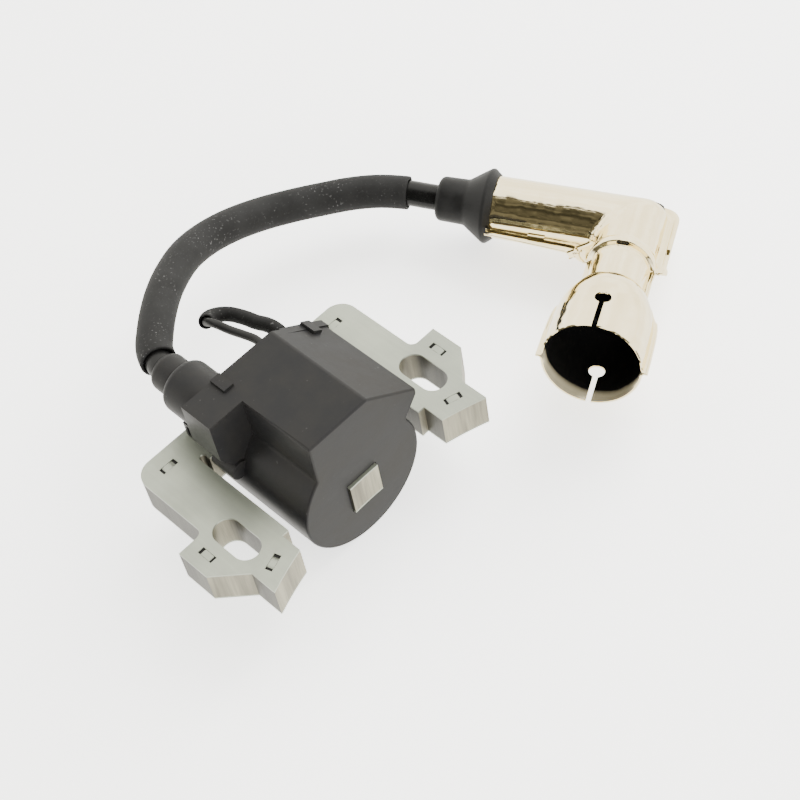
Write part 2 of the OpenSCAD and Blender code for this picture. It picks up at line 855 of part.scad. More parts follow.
core_top_sheet();
core_sheets();
core_bottom_sheet();
coil_case();
potting_resin();
primary_bobbin();
primary_winding();
secondary_bobbin();
secondary_winding();
module_board();
module_transistor();
module_parts();
ground_strap();
lead_terminal();
ht_lead();
lead_sleeve();
cap_boot();
shield_upper();
shield_lower();
cap_insulator();
cap_lead_screw();
cap_resistor();
cap_spring();
plug_clip();
stop_wire();
stop_wire_sleeve();
stop_terminal();
stop_terminal_boot();
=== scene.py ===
import json
import math

import bmesh
import bpy
from mathutils import Matrix, Quaternion, Vector


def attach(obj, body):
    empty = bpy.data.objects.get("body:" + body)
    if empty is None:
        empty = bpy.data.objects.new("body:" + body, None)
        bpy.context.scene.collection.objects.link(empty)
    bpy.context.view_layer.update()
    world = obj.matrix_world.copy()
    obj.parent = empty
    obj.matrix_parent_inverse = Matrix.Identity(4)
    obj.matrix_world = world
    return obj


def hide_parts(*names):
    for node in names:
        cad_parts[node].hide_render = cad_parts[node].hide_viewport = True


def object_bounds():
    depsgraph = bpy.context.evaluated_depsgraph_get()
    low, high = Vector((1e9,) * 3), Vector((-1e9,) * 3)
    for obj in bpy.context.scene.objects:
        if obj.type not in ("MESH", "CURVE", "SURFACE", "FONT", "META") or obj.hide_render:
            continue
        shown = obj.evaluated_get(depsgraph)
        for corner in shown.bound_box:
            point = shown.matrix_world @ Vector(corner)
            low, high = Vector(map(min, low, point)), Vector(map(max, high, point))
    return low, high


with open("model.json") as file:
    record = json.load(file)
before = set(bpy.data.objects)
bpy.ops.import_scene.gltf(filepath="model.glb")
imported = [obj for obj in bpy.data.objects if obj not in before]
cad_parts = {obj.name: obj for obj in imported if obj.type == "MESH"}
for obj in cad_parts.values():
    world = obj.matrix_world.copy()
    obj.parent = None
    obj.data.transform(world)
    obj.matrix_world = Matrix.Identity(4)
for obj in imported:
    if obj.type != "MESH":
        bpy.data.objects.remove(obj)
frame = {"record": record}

cad_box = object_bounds()
MM = 0.001

# ---------------------------------------------------------------- measurements

# Camera, at the angle of the photograph
AZIMUTH = -36.3
ELEVATION = 52.3
ROLL = -11.76
DISTANCE = 0.435
LENS = 79.0
LOOK_AT = Vector((24.1, 1.6, 5.0)) * MM

# Plug cap: its frame comes from the swivel's joint and the mount at its mouth
swivel = next(j for j in frame["record"]["behaviour"]["joints"] if j["name"] == "cap_swivel")
mouth = next(m for m in frame["record"]["mounts"] if m["name"] == "plug_shield_mouth")
CAP_AT = Vector(swivel["pos_m"])
BODY_AXIS = Vector(swivel["axis"]).normalized()
SOCKET_AXIS = Vector(mouth["axis"]).normalized()
SEAM_AXIS = BODY_AXIS.cross(SOCKET_AXIS)
CAP_TURN = Matrix((BODY_AXIS, SOCKET_AXIS, SEAM_AXIS)).transposed().to_4x4()
CAP_FRAME = Matrix.Translation(CAP_AT) @ CAP_TURN

# Sizes of the cap in millimetres; the body runs from the boot to the elbow, the socket to the mouth
CAP_R = 8.5
BODY_END = 37.8
COLLAR_START = 14.4
COLLAR_FACE = 17.2
COLLAR_R = 9.1
NECK_R = 7.6
NECK_END = 28.8
MOUTH_R = 12.7
MOUTH_AT = 55.8
INNER_FILLET = 2.6
OUTER_FILLET = 4.0
SHEET = 0.5
SEAM = 0.03
UPPER_FLANGE = 2.2
LOWER_FLANGE = 3.7
DRAIN_W = 1.2
DRAIN_L = 3.4
KEYHOLE_AT = 44.8
KEYHOLE_R = 2.1
KEYHOLE_SLOT = 1.3
BOOT_START = 31
BOOT_END = 53.5
BOOT_PLUG_R = 7.85
BOOT_RIM_R = 10.25

# Coil case in millimetres: its front face, the rounding of its moulded edges, and the radius
# inside which they stay sharp
CASE_FRONT = -10.0
CASE_ROUND = 0.6
CASE_INNER_R = 12.0

# Core in millimetres: a stack of sheets, with interlocks (x, y, turn) mirrored on the other side
CORE_T = 10.0
CORE_SHEET = 0.5
STAKES = [(39.1, 2.2, 90), (30.4, -11.3, -17), (28.3, 28.5, 0)]
STAKE_L = 4.6
STAKE_W = 1.9
STAKE_DEEP = 0.3

# Steps between two points of a cord's route
ROUTE_STEPS = 5

# High-tension lead, in millimetres, the same route as in the CAD model
LEAD_D = 7.0
SLEEVE_D = 9.2
SLEEVE_BORE = 7.8
BOSS_X = -15.0
BOSS_Z = 26.3
NOSE_END = 39.8
LEAD_ROUTE = [Vector(p) for p in [
    (BOSS_X, 26, BOSS_Z), (BOSS_X, NOSE_END + 0.2, BOSS_Z), (-14.4, 42.4, 26.2), (-12.4, 46.6, 25.7),
    (-8.7, 51, 24.8), (-3.8, 56.2, 23.3), (2.4, 61.9, 21.4), (9.4, 67.2, 19), (17.2, 71.6, 16.4),
    (25.6, 74.3, 13.4), (34.6, 75.1, 10.4), (43.6, 74.2, 7.5), (52.3, 71.8, 5), (60.4, 68.1, 3.3),
    (67.9, 63.4, 2.4), (73.6, 58, 2), (78.1, 51.4, 1.8),
]] + [CAP_AT / MM + s * BODY_AXIS for s in (57.4, 50, 24.6)]
SLEEVE_FIRST = 2
SLEEVE_LAST = 16

# Stop wire and its sleeve, in millimetres, the same route as in the CAD model
STOP_D = 2.2
STOP_SLEEVE_D = 3.9
STOP_SLEEVE_BORE = 3.0
STOP_ROUTE = [Vector(p) for p in [
    (4, 20.4, 26.2), (4.6, 23.2, 26.1), (5.4, 26.4, 25.8), (5.7, 29.8, 25.2), (5.2, 33.6, 24.4),
    (4.5, 37.8, 23.5), (3.8, 42.3, 23), (3.7, 45.1, 21.8), (4.1, 47.8, 19.6), (6.1, 49.7, 17.8),
    (8.8, 49.8, 16.4), (11.3, 48, 15.6), (13, 44.1, 15.5), (14.1, 41.3, 14.9), (15.4, 37.7, 15),
    (15.7, 34, 14.6), (14.3, 30.6, 14), (11.4, 28.3, 13.3), (7.3, 27.6, 12.9), (3, 27.6, 12.9),
    (-2, 27.6, 12.9),
]]
STOP_SLEEVE_FIRST = 8
STOP_SLEEVE_LAST = 15


# ---------------------------------------------------------------- mesh helpers

def add_piece(name, points, faces, body):
    """A new smooth mesh piece from points in metres, riding on a body."""
    mesh = bpy.data.meshes.new(name)
    mesh.from_pydata([tuple(p) for p in points], [], faces)
    mesh.validate()
    piece = bpy.data.objects.new(name, mesh)
    bpy.context.scene.collection.objects.link(piece)
    work = bmesh.new()
    work.from_mesh(mesh)
    bmesh.ops.remove_doubles(work, verts=work.verts, dist=1e-7)
    bmesh.ops.recalc_face_normals(work, faces=work.faces)
    work.to_mesh(mesh)
    work.free()
    mesh.polygons.foreach_set("use_smooth", [True] * len(mesh.polygons))
    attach(piece, body)
    return piece


def apply_modifiers(piece):
    """Turns what the modifiers make into the piece's own mesh."""
    graph = bpy.context.evaluated_depsgraph_get()
    result = bpy.data.meshes.new_from_object(piece.evaluated_get(graph))
    piece.modifiers.clear()
    piece.data = result


def smooth_by_angle(piece, degrees):
    """Smooth shading that keeps edges sharper than an angle."""
    mesh = piece.data
    mesh.polygons.foreach_set("use_smooth", [True] * len(mesh.polygons))
    work = bmesh.new()
    work.from_mesh(mesh)
    for edge in work.edges:
        edge.smooth = len(edge.link_faces) == 2 and edge.calc_face_angle(0.0) < math.radians(degrees)
    work.to_mesh(mesh)
    work.free()


def smooth_route(route, steps):
    """Points on one smooth curve through a route, with its spans cut into steps."""
    path = []
    for i in range(len(route) - 1):
        before = route[max(i - 1, 0)]
        after = route[min(i + 2, len(route) - 1)]
        start, end = route[i], route[i + 1]
        span = (end - start).length
        leave = (end - before).normalized() * span
        arrive = (after - start).normalized() * span
        for k in range(steps):
            t = k / steps
            path.append(
                (2 * t**3 - 3 * t**2 + 1) * start + (t**3 - 2 * t**2 + t) * leave
                + (3 * t**2 - 2 * t**3) * end + (t**3 - t**2) * arrive
            )
    path.append(route[-1])
    return path


def frames_along(path):
    """Two sideways axes at each point of a path, turned as little as possible."""
    tangents = []
    for i in range(len(path)):
        tangents.append((path[min(i + 1, len(path) - 1)] - path[max(i - 1, 0)]).normalized())
    side = tangents[0].cross(Vector((0, 0, 1))).normalized()
    frames = []
    for i, tangent in enumerate(tangents):
        if i:
            side = tangents[i - 1].rotation_difference(tangent) @ side
        frames.append((side, side.cross(tangent)))
    return frames


def tube(name, path, profile, sides, body, closed=False):
    """Sweeps rings, given as (place on the path, radius) pairs in mm, along a path."""
    frames = frames_along(path)
    last = len(path) - 1
    points = []
    for place, radius in profile:
        i = min(int(place), last)
        centre = path[i].lerp(path[min(i + 1, last)], place - i)
        side, up = frames[i]
        for k in range(sides):
            turn = 2 * math.pi * k / sides
            points.append((centre + radius * (math.cos(turn) * side + math.sin(turn) * up)) * MM)
    return add_piece(name, points, ring_faces(len(profile), sides, closed), body)


def ring_faces(rings, sides, closed=False):
    """Quads between neighbouring rings of points, with end caps unless the rings close."""
    faces = []
    for i in range(rings - 1 + int(closed)):
        for k in range(sides):
            a = i * sides + k
            b = i * sides + (k + 1) % sides
            c = ((i + 1) % rings) * sides + (k + 1) % sides
            d = ((i + 1) % rings) * sides + k
            faces.append((a, b, c, d))
    if not closed:
        faces.append(tuple(reversed(range(sides))))
        faces.append(tuple(range((rings - 1) * sides, rings * sides)))
    return faces


def cord_piece(name, path, diameter, sides, body):
    """A solid round cord along a path, with softly rounded ends."""
    r = diameter / 2
    ends = [(0, 0.92 * r), (0.15, r)]
    middle = [(i, r) for i in range(1, len(path) - 1)]
    last = len(path) - 1
    return tube(name, path, ends + middle + [(last - 0.15, r), (last, 0.92 * r)], sides, body)


def hose_piece(name, path, outer_d, bore_d, sides, body):
    """An open-ended hose with rounded rims; its wall is one closed loop of rings."""
    outer, bore = outer_d / 2, bore_d / 2
    middle_r = (outer + bore) / 2
    last = len(path) - 1
    outside = [(0.05, outer - 0.08), (0.3, outer)] + [(i, outer) for i in range(1, last)]
    outside += [(last - 0.3, outer), (last - 0.05, outer - 0.08), (last, middle_r)]
    inside = [(last - 0.05, bore)] + [(i, bore) for i in range(last - 1, 0, -1)]
    inside += [(0.05, bore), (0, middle_r)]
    return tube(name, path, outside + inside, sides, body, closed=True)


def lathe(name, profile, axis_frame, sides, body):
    """Turns a closed outline of (along, radius) pairs in mm about the X axis of a frame."""
    points = []
    for along, radius in profile:
        for k in range(sides):
            turn = 2 * math.pi * k / sides
            local = Vector((along, radius * math.cos(turn), radius * math.sin(turn))) * MM
            points.append(axis_frame @ local)
    return add_piece(name, points, ring_faces(len(profile), sides, closed=True), body)


def rounded(outline, radius, steps=4):
    """Rounds every corner of a closed 2-D outline with a short curve."""
    result = []
    count = len(outline)
    for i, corner in enumerate(outline):
        before, after = Vector(outline[i - 1]), Vector(outline[(i + 1) % count])
        corner = Vector(corner)
        cut = min(radius, 0.45 * (before - corner).length, 0.45 * (after - corner).length)
        start = corner + cut * (before - corner).normalized()
        end = corner + cut * (after - corner).normalized()
        for k in range(steps + 1):
            t = k / steps
            result.append((1 - t)**2 * start + 2 * t * (1 - t) * corner + t**2 * end)
    return result


# ---------------------------------------------------------------- material helpers

def new_material(name, color, roughness, metallic=0.0):
    """A material with its Principled shader and an Object-space position in metres."""
    material = bpy.data.materials.new(name)
    material.use_nodes = True
    tree = material.node_tree
    shader = tree.nodes["Principled BSDF"]
    shader.inputs["Base Color"].default_value = (*color, 1)
    shader.inputs["Roughness"].default_value = roughness
    shader.inputs["Metallic"].default_value = metallic
    place = tree.nodes.new("ShaderNodeTexCoord").outputs["Object"]
    return material, tree, shader, place


def stretched(tree, place, scale, turn=(0, 0, 0)):
    """The position scaled along each axis, to draw grain or streaks."""
    mapping = tree.nodes.new("ShaderNodeMapping")
    mapping.inputs["Rotation"].default_value = turn
    mapping.inputs["Scale"].default_value = scale
    tree.links.new(place, mapping.inputs["Vector"])
    return mapping.outputs["Vector"]


def noise(tree, place, scale, detail=3.0, roughness=0.5):
    """Cloudy values round one half; the scale is in features per metre."""
    texture = tree.nodes.new("ShaderNodeTexNoise")
    texture.inputs["Scale"].default_value = scale
    texture.inputs["Detail"].default_value = detail
    texture.inputs["Roughness"].default_value = roughness
    tree.links.new(place, texture.inputs["Vector"])
    return texture.outputs["Fac"]


def ramp(tree, factor, low, high, low_color, high_color):
    """Blends two colours as the factor goes from low to high."""
    blend = tree.nodes.new("ShaderNodeValToRGB")
    blend.color_ramp.elements[0].position = low
    blend.color_ramp.elements[0].color = (*low_color, 1)
    blend.color_ramp.elements[1].position = high
    blend.color_ramp.elements[1].color = (*high_color, 1)
    tree.links.new(factor, blend.inputs["Fac"])
    return blend.outputs["Color"]


def mix(tree, factor, a, b, mode="MIX"):
    """Mixes two colour sockets by a factor, which is a socket or a number.

    The node's colours are its inputs 6 and 7 and its output 2.
    """
    blend = tree.nodes.new("ShaderNodeMix")
    blend.data_type = "RGBA"
    blend.blend_type = mode
    if isinstance(factor, float):
        blend.inputs[0].default_value = factor
    else:
        tree.links.new(factor, blend.inputs[0])
    tree.links.new(a, blend.inputs[6])
    tree.links.new(b, blend.inputs[7])
    return blend.outputs[2]


def grey(level):
    return (level, level, level)


def along_axis(tree, place, origin, axis):
    """How far a place is from a point along an axis, in metres."""
    offset = tree.nodes.new("ShaderNodeVectorMath")
    offset.operation = "SUBTRACT"
    offset.inputs[1].default_value = origin
    tree.links.new(place, offset.inputs[0])
    part = tree.nodes.new("ShaderNodeVectorMath")
    part.operation = "DOT_PRODUCT"
    part.inputs[1].default_value = axis
    tree.links.new(offset.outputs["Vector"], part.inputs[0])
    return part.outputs["Value"]


def number_range(tree, factor, low, high, low_value, high_value):
    """Maps a factor from one range to another."""
    change = tree.nodes.new("ShaderNodeMapRange")
    change.inputs["From Min"].default_value = low
    change.inputs["From Max"].default_value = high
    change.inputs["To Min"].default_value = low_value
    change.inputs["To Max"].default_value = high_value
    tree.links.new(factor, change.inputs["Value"])
    return change.outputs["Result"]


def combine(tree, operation, a, b):
    """Adds, multiplies or compares two values."""
    result = tree.nodes.new("ShaderNodeMath")
    result.operation = operation
    tree.links.new(a, result.inputs[0])
    tree.links.new(b, result.inputs[1])
    return result.outputs["Value"]


def bump(tree, shader, height, strength, distance):
    """Adds relief to a shader, on top of what it already has."""
    relief = tree.nodes.new("ShaderNodeBump")
    relief.inputs["Strength"].default_value = strength
    relief.inputs["Distance"].default_value = distance
    tree.links.new(height, relief.inputs["Height"])
    if shader.inputs["Normal"].is_linked:
        tree.links.new(shader.inputs["Normal"].links[0].from_socket, relief.inputs["Normal"])
    tree.links.new(relief.outputs["Normal"], shader.inputs["Normal"])


def paint(material, *names):
    """Gives a material to objects."""
    for name in names:
        mesh = bpy.data.objects[name].data
        mesh.materials.clear()
        mesh.materials.append(material)


# ---------------------------------------------------------------- camera and light

def make_camera():
    """The camera at the photo's angle, looking from the azimuth and elevation above."""
    azimuth, elevation = math.radians(AZIMUTH), math.radians(ELEVATION)
    away = Vector((
        math.sin(azimuth) * math.cos(elevation),
        -math.cos(azimuth) * math.cos(elevation),
        math.sin(elevation),
    ))
    camera = bpy.data.objects.new("camera", bpy.data.cameras.new("camera"))
    bpy.context.scene.collection.objects.link(camera)
    camera.data.lens = LENS
    camera.data.clip_start = 0.02
    upright = (-away).to_track_quat("-Z", "Y")
    camera.matrix_world = Matrix.LocRotScale(
        LOOK_AT + DISTANCE * away, upright @ Quaternion((0, 0, 1), math.radians(ROLL)), None
    )
    bpy.context.scene.camera = camera


def make_world():
    """A white studio with one long dark side, which the bright metal reflects."""
    world = bpy.data.worlds.new("studio")
    bpy.context.scene.world = world
    world.use_nodes = True
    tree = world.node_tree
    background = tree.nodes["Background"]
    direction = tree.nodes.new("ShaderNodeTexCoord").outputs["Generated"]
    high = along_axis(tree, direction, (0, 0, 0), Vector((-0.62, -0.16, 0.77)).normalized())
    low = along_axis(tree, direction, (0, 0, 0), Vector((-0.93, -0.28, -0.10)).normalized())
    nearest = combine(tree, "MAXIMUM", high, low)
    ragged = number_range(tree, noise(tree, direction, 7.0, 4.0), 0.3, 0.7, -0.13, 0.13)
    inside = combine(tree, "ADD", nearest, ragged)
    clouds = noise(tree, direction, 5.0, 3.0)
    bright = ramp(tree, clouds, 0.35, 0.65, (1.0, 0.99, 0.95), (0.88, 0.85, 0.76))
    dark = ramp(tree, clouds, 0.35, 0.65, (0.015, 0.014, 0.010), (0.07, 0.065, 0.048))
    edge = number_range(tree, inside, 0.72, 0.82, 0.0, 1.0)
    # The table is white, so nothing dark is reflected from below
    height = along_axis(tree, direction, (0, 0, 0), (0, 0, 1))
    above = number_range(tree, height, -0.36, -0.26, 0.0, 1.0)
    wall = combine(tree, "MULTIPLY", edge, above)
    tree.links.new(mix(tree, wall, bright, dark), background.inputs["Color"])
    background.inputs["Strength"].default_value = 3.2


def add_softbox(name, place, size, power):
    """A soft light that points at the object and isn't mirrored in the metal."""
    light = bpy.data.objects.new(name, bpy.data.lights.new(name, "AREA"))
    bpy.context.scene.collection.objects.link(light)
    light.data.shape = "RECTANGLE"
    light.data.size, light.data.size_y = size
    light.data.energy = power
    light.visible_glossy = False
    place = Vector(place)
    light.matrix_world = Matrix.LocRotScale(place, (LOOK_AT - place).to_track_quat("-Z", "Y"), None)


def make_floor():
    """A pale floor under the lowest point, wide enough to have no edge in sight."""
    low, reach = cad_box[0][2], 6.0
    points = [(-reach, -reach, low), (reach, -reach, low), (reach, reach, low), (-reach, reach, low)]
    mesh = bpy.data.meshes.new("floor")
    mesh.from_pydata(points, [], [(0, 1, 2, 3)])
    floor = bpy.data.objects.new("floor", mesh)
    bpy.context.scene.collection.objects.link(floor)
    material, tree, shader, place = new_material("floor", grey(0.9), 0.8)
    shader.inputs["Specular IOR Level"].default_value = 0.1
    shader.inputs["Emission Color"].default_value = (1.0, 1.0, 0.99, 1)
    shader.inputs["Emission Strength"].default_value = 1.8
    faint = ramp(tree, noise(tree, place, 6.0), 0.3, 0.7, grey(0.89), grey(0.91))
    tree.links.new(faint, shader.inputs["Base Color"])
    mesh.materials.append(material)
    floor.visible_glossy = False


make_camera()
make_world()
make_floor()
add_softbox("key", (0.6, 0.1, 0.5), (0.5, 0.5), 10.0)
add_softbox("fill", (-0.5, -0.6, 0.3), (0.5, 0.4), 6.0)


# ---------------------------------------------------------------- materials

def steel_sheet():
    """Bare core steel: satin, slightly green-grey, with painted shade on the floors of the pressed
    interlocks.
    """
    material, tree, shader, place = new_material("steel_sheet", (0.33, 0.35, 0.29), 0.38, 0.75)
    streaks = noise(tree, stretched(tree, place, (900, 60, 60)), 1.0, 4.0)
    stains = noise(tree, place, 45.0, 4.0, 0.6)
    base = ramp(tree, stains, 0.35, 0.7, (0.36, 0.385, 0.32), (0.30, 0.32, 0.27))
    marks = ramp(tree, streaks, 0.4, 0.65, grey(0.92), grey(1.0))
    worn = mix(tree, 0.6, base, marks, "MULTIPLY")
    # Painted shade: upward faces deep in the interlock recesses are painted near black
    height = along_axis(tree, place, (0, 0, 0), (0, 0, 1))
    recess = (CORE_T - STAKE_DEEP) * MM
    deep = number_range(tree, height, recess + 0.03 * MM, recess + 0.12 * MM, 1.0, 0.0)
    facing = tree.nodes.new("ShaderNodeNewGeometry").outputs["Normal"]
    upward = along_axis(tree, facing, (0, 0, 0), (0, 0, 1))
    recess_shade_mask = combine(tree, "MULTIPLY", deep, number_range(tree, upward, 0.5, 0.9, 0.0, 1.0))
    painted_recess_shade = ramp(tree, streaks, 0.3, 0.7, grey(0.004), grey(0.012))
    tree.links.new(mix(tree, recess_shade_mask, worn, painted_recess_shade), shader.inputs["Base Color"])
    tree.links.new(number_range(tree, stains, 0.3, 0.7, 0.28, 0.42), shader.inputs["Roughness"])
    bump(tree, shader, streaks, 0.08, 0.0001)
    bump(tree, shader, noise(tree, place, 2500.0, 2.0), 0.06, 0.0001)
    return material


def steel_edges():
    """Cut edges of the stack: a faint line for each sheet, and grinding streaks across them."""
    material, tree, shader, place = new_material("steel_edges", (0.24, 0.22, 0.18), 0.45, 0.5)
    sheets = tree.nodes.new("ShaderNodeTexWave")
    sheets.bands_direction = "Z"
    sheets.inputs["Scale"].default_value = math.pi / (10 * CORE_SHEET * MM)
    tree.links.new(place, sheets.inputs["Vector"])
    tone = noise(tree, stretched(tree, place, (220, 220, 25)), 1.0, 3.0)
    grind = noise(tree, stretched(tree, place, (1300, 1300, 60)), 1.0, 4.0)
    base = ramp(tree, tone, 0.35, 0.65, (0.110, 0.106, 0.084), (0.205, 0.200, 0.158))
    lines = ramp(tree, sheets.outputs["Fac"], 0.02, 0.3, grey(0.6), grey(1.0))
    marks = ramp(tree, grind, 0.38, 0.62, grey(0.72), grey(1.0))
    # Ground pole faces, towards the flywheel, are paler than punched edges
    facing = tree.nodes.new("ShaderNodeNewGeometry").outputs["Normal"]
    forward = number_range(tree, along_axis(tree, facing, (0, 0, 0), (0, -1, 0)), 0.3, 0.8, 0.0, 1.0)
    ground = ramp(tree, forward, 0.0, 1.0, grey(0.45), (1.7, 1.64, 1.52))
    shade = mix(tree, 0.9, mix(tree, 0.6, base, lines, "MULTIPLY"), marks, "MULTIPLY")
    tree.links.new(mix(tree, 1.0, shade, ground, "MULTIPLY"), shader.inputs["Base Color"])
    bump(tree, shader, sheets.outputs["Fac"], 0.12, 0.0001)
    bump(tree, shader, grind, 0.2, 0.0001)
    return material


def case_plastic():
    """Satin black moulding: fine grain, a few pale flecks and a faint brown haze of resin."""
    material, tree, shader, place = new_material("case_plastic", grey(0.02), 0.42)
    shader.inputs["Specular IOR Level"].default_value = 0.14
    haze = noise(tree, stretched(tree, place, (60, 60, 90)), 1.0, 5.0, 0.65)
    grain = noise(tree, place, 1800.0, 3.0, 0.6)
    flecks = noise(tree, place, 900.0, 1.0)
    base = ramp(tree, haze, 0.42, 0.72, (0.0115, 0.0115, 0.0122), (0.0175, 0.0165, 0.015))
    spots = ramp(tree, flecks, 0.74, 0.80, grey(0.0), grey(0.02))
    tree.links.new(mix(tree, 1.0, base, spots, "ADD"), shader.inputs["Base Color"])
    tree.links.new(number_range(tree, haze, 0.35, 0.75, 0.36, 0.5), shader.inputs["Roughness"])
    bump(tree, shader, grain, 0.12, 0.0001)
    bump(tree, shader, noise(tree, place, 220.0, 2.0), 0.10, 0.0003)
    return material


def poured_resin():
    """Black epoxy with a softly wavy, glossy face and small bubbles."""
    material, tree, shader, place = new_material("poured_resin", grey(0.02), 0.18)
    waves = noise(tree, place, 130.0, 2.0)
    bubbles = tree.nodes.new("ShaderNodeTexVoronoi")
    bubbles.inputs["Scale"].default_value = 420.0
    tree.links.new(place, bubbles.inputs["Vector"])
    pits = number_range(tree, bubbles.outputs["Distance"], 0.05, 0.16, 0.0, 1.0)
    tone = ramp(tree, waves, 0.3, 0.7, grey(0.014), (0.028, 0.026, 0.024))
    tree.links.new(tone, shader.inputs["Base Color"])
    bump(tree, shader, waves, 0.4, 0.0006)
    bump(tree, shader, pits, 0.25, 0.0002)
    return material


def black_insulation(name, gloss):
    """Smooth extruded insulation with faint drawn lines and handling marks."""
    material, tree, shader, place = new_material(name, grey(0.006), gloss)
    shader.inputs["Specular IOR Level"].default_value = 0.22
    smears = noise(tree, place, 160.0, 4.0, 0.6)
    smeared = number_range(tree, smears, 0.35, 0.7, gloss, gloss + 0.16)
    tree.links.new(smeared, shader.inputs["Roughness"])
    tone = ramp(tree, smears, 0.4, 0.8, grey(0.004), grey(0.009))
    tree.links.new(tone, shader.inputs["Base Color"])
    bump(tree, shader, noise(tree, place, 700.0, 2.0), 0.05, 0.0001)
    return material


def speckled_sleeve(name, base_level):
    """Dull extruded sleeving, with pale dust specks and a slightly rough skin."""
    material, tree, shader, place = new_material(name, grey(base_level), 0.62)
    shader.inputs["Specular IOR Level"].default_value = 0.08
    cloudy = noise(tree, place, 120.0, 4.0, 0.6)
    dust = noise(tree, place, 1500.0, 1.5, 0.6)
    clusters = noise(tree, place, 90.0, 2.0)
    base = ramp(tree, cloudy, 0.3, 0.75, grey(base_level * 0.8), grey(base_level * 1.3))
    specks = ramp(tree, dust, 0.62, 0.72, grey(0.0), grey(0.07))
    held = ramp(tree, clusters, 0.45, 0.6, grey(0.15), grey(1.0))
    dusty = mix(tree, 1.0, specks, held, "MULTIPLY")
    tree.links.new(mix(tree, 1.0, base, dusty, "ADD"), shader.inputs["Base Color"])
    bump(tree, shader, noise(tree, place, 2200.0, 3.0, 0.7), 0.22, 0.0001)
    return material


def moulded_rubber(name, level, roughness):
    """Soft moulded rubber with a fine skin and worn, paler patches."""
    material, tree, shader, place = new_material(name, grey(level), roughness)
    shader.inputs["Specular IOR Level"].default_value = 0.12
    worn = noise(tree, place, 140.0, 4.0, 0.6)
    base = ramp(tree, worn, 0.35, 0.75, grey(level * 0.8), grey(level * 1.6))
    tree.links.new(base, shader.inputs["Base Color"])
    skin = number_range(tree, worn, 0.3, 0.7, roughness - 0.08, roughness + 0.1)
    tree.links.new(skin, shader.inputs["Roughness"])
    bump(tree, shader, noise(tree, place, 1600.0, 3.0), 0.14, 0.0001)
    return material


def bright_plating():
    """Warm nickel plate on pressed sheet: mirror-like, gently wavy, lightly scratched."""
    material, tree, shader, place = new_material("bright_plating", (0.93, 0.85, 0.62), 0.07, 1.0)
    waves = noise(tree, place, 130.0, 1.5)
    scratches = noise(tree, stretched(tree, place, (1500, 120, 120), (0.3, 0.2, 0.9)), 1.0, 3.0)
    cloudy = noise(tree, place, 60.0, 3.0)
    tone = ramp(tree, cloudy, 0.3, 0.7, (1.0, 0.88, 0.58), (0.92, 0.79, 0.48))
    tree.links.new(tone, shader.inputs["Base Color"])
    tree.links.new(number_range(tree, scratches, 0.45, 0.75, 0.05, 0.14), shader.inputs["Roughness"])
    # A raised line across the elbow, where the body meets the socket
    across = along_axis(tree, place, CAP_AT, (BODY_AXIS - SOCKET_AXIS).normalized())
    outward = along_axis(tree, place, CAP_AT, (BODY_AXIS + SOCKET_AXIS).normalized())
    ridge_side = number_range(tree, across, -0.7 * MM, 0.0, 0.0, 1.0)
    ridge_end = number_range(tree, across, 0.0, 0.7 * MM, 1.0, 0.0)
    fade = number_range(tree, outward, -1 * MM, 3 * MM, 0.0, 1.0)
    ridge = combine(tree, "MULTIPLY", combine(tree, "MULTIPLY", ridge_side, ridge_end), fade)
    bump(tree, shader, ridge, 0.6, 0.0003)
    bump(tree, shader, waves, 0.6, 0.0007)
    bump(tree, shader, scratches, 0.03, 0.0001)
    return material


def painted_shade_inside():
    """The shield's inner face: painted near black as shade deep inside, and plate colour near the
    mouth, made part diffuse so that it shows a painted pale reflection.
    """
    material, tree, shader, place = new_material("painted_shade_inside", grey(0.008), 0.25)
    from_mouth = along_axis(tree, place, CAP_AT + MOUTH_AT * MM * SOCKET_AXIS, SOCKET_AXIS)
    ragged = number_range(tree, noise(tree, place, 200.0), 0.3, 0.7, -0.0003, 0.0003)
    edge = combine(tree, "ADD", from_mouth, ragged)
    # Painted shade: deep inside the shield the face is near black, fading to plate colour near the
    # mouth
    unshaded_plate = number_range(tree, edge, -4.0 * MM, -1.2 * MM, 0.0, 1.0)
    tone = ramp(tree, unshaded_plate, 0.0, 1.0, grey(0.006), (1.0, 0.90, 0.62))
    tree.links.new(tone, shader.inputs["Base Color"])
    # Plate near the mouth is only part metallic, so its diffuse part shows a painted pale reflection
    tree.links.new(number_range(tree, unshaded_plate, 0.0, 1.0, 0.0, 0.7), shader.inputs["Metallic"])
    bump(tree, shader, noise(tree, place, 300.0, 2.0), 0.1, 0.0002)
    return material


def plain_metal(name, color, roughness):
    """Brass, tin or spring steel with fine drawing marks and dull patches."""
    material, tree, shader, place = new_material(name, color, roughness, 1.0)
    dull = noise(tree, place, 300.0, 4.0)
    dark = tuple(0.7 * c for c in color)
    tree.links.new(ramp(tree, dull, 0.35, 0.7, color, dark), shader.inputs["Base Color"])
    tree.links.new(
        number_range(tree, dull, 0.3, 0.7, roughness, roughness + 0.2), shader.inputs["Roughness"]
    )
    bump(tree, shader, noise(tree, place, 1500.0, 2.0), 0.1, 0.0001)
    return material


def moulded_nylon(name, color):
    """Natural plastic of the bobbins, slightly mottled."""
    material, tree, shader, place = new_material(name, color, 0.45)
    mottle = noise(tree, place, 200.0, 3.0)
    dark = tuple(0.85 * c for c in color)
    tree.links.new(ramp(tree, mottle, 0.3, 0.7, color, dark), shader.inputs["Base Color"])
    shader.inputs["Subsurface Weight"].default_value = 0.1
    shader.inputs["Subsurface Radius"].default_value = (0.001, 0.001, 0.001)
    bump(tree, shader, noise(tree, place, 1400.0, 2.0), 0.1, 0.0001)
    return material


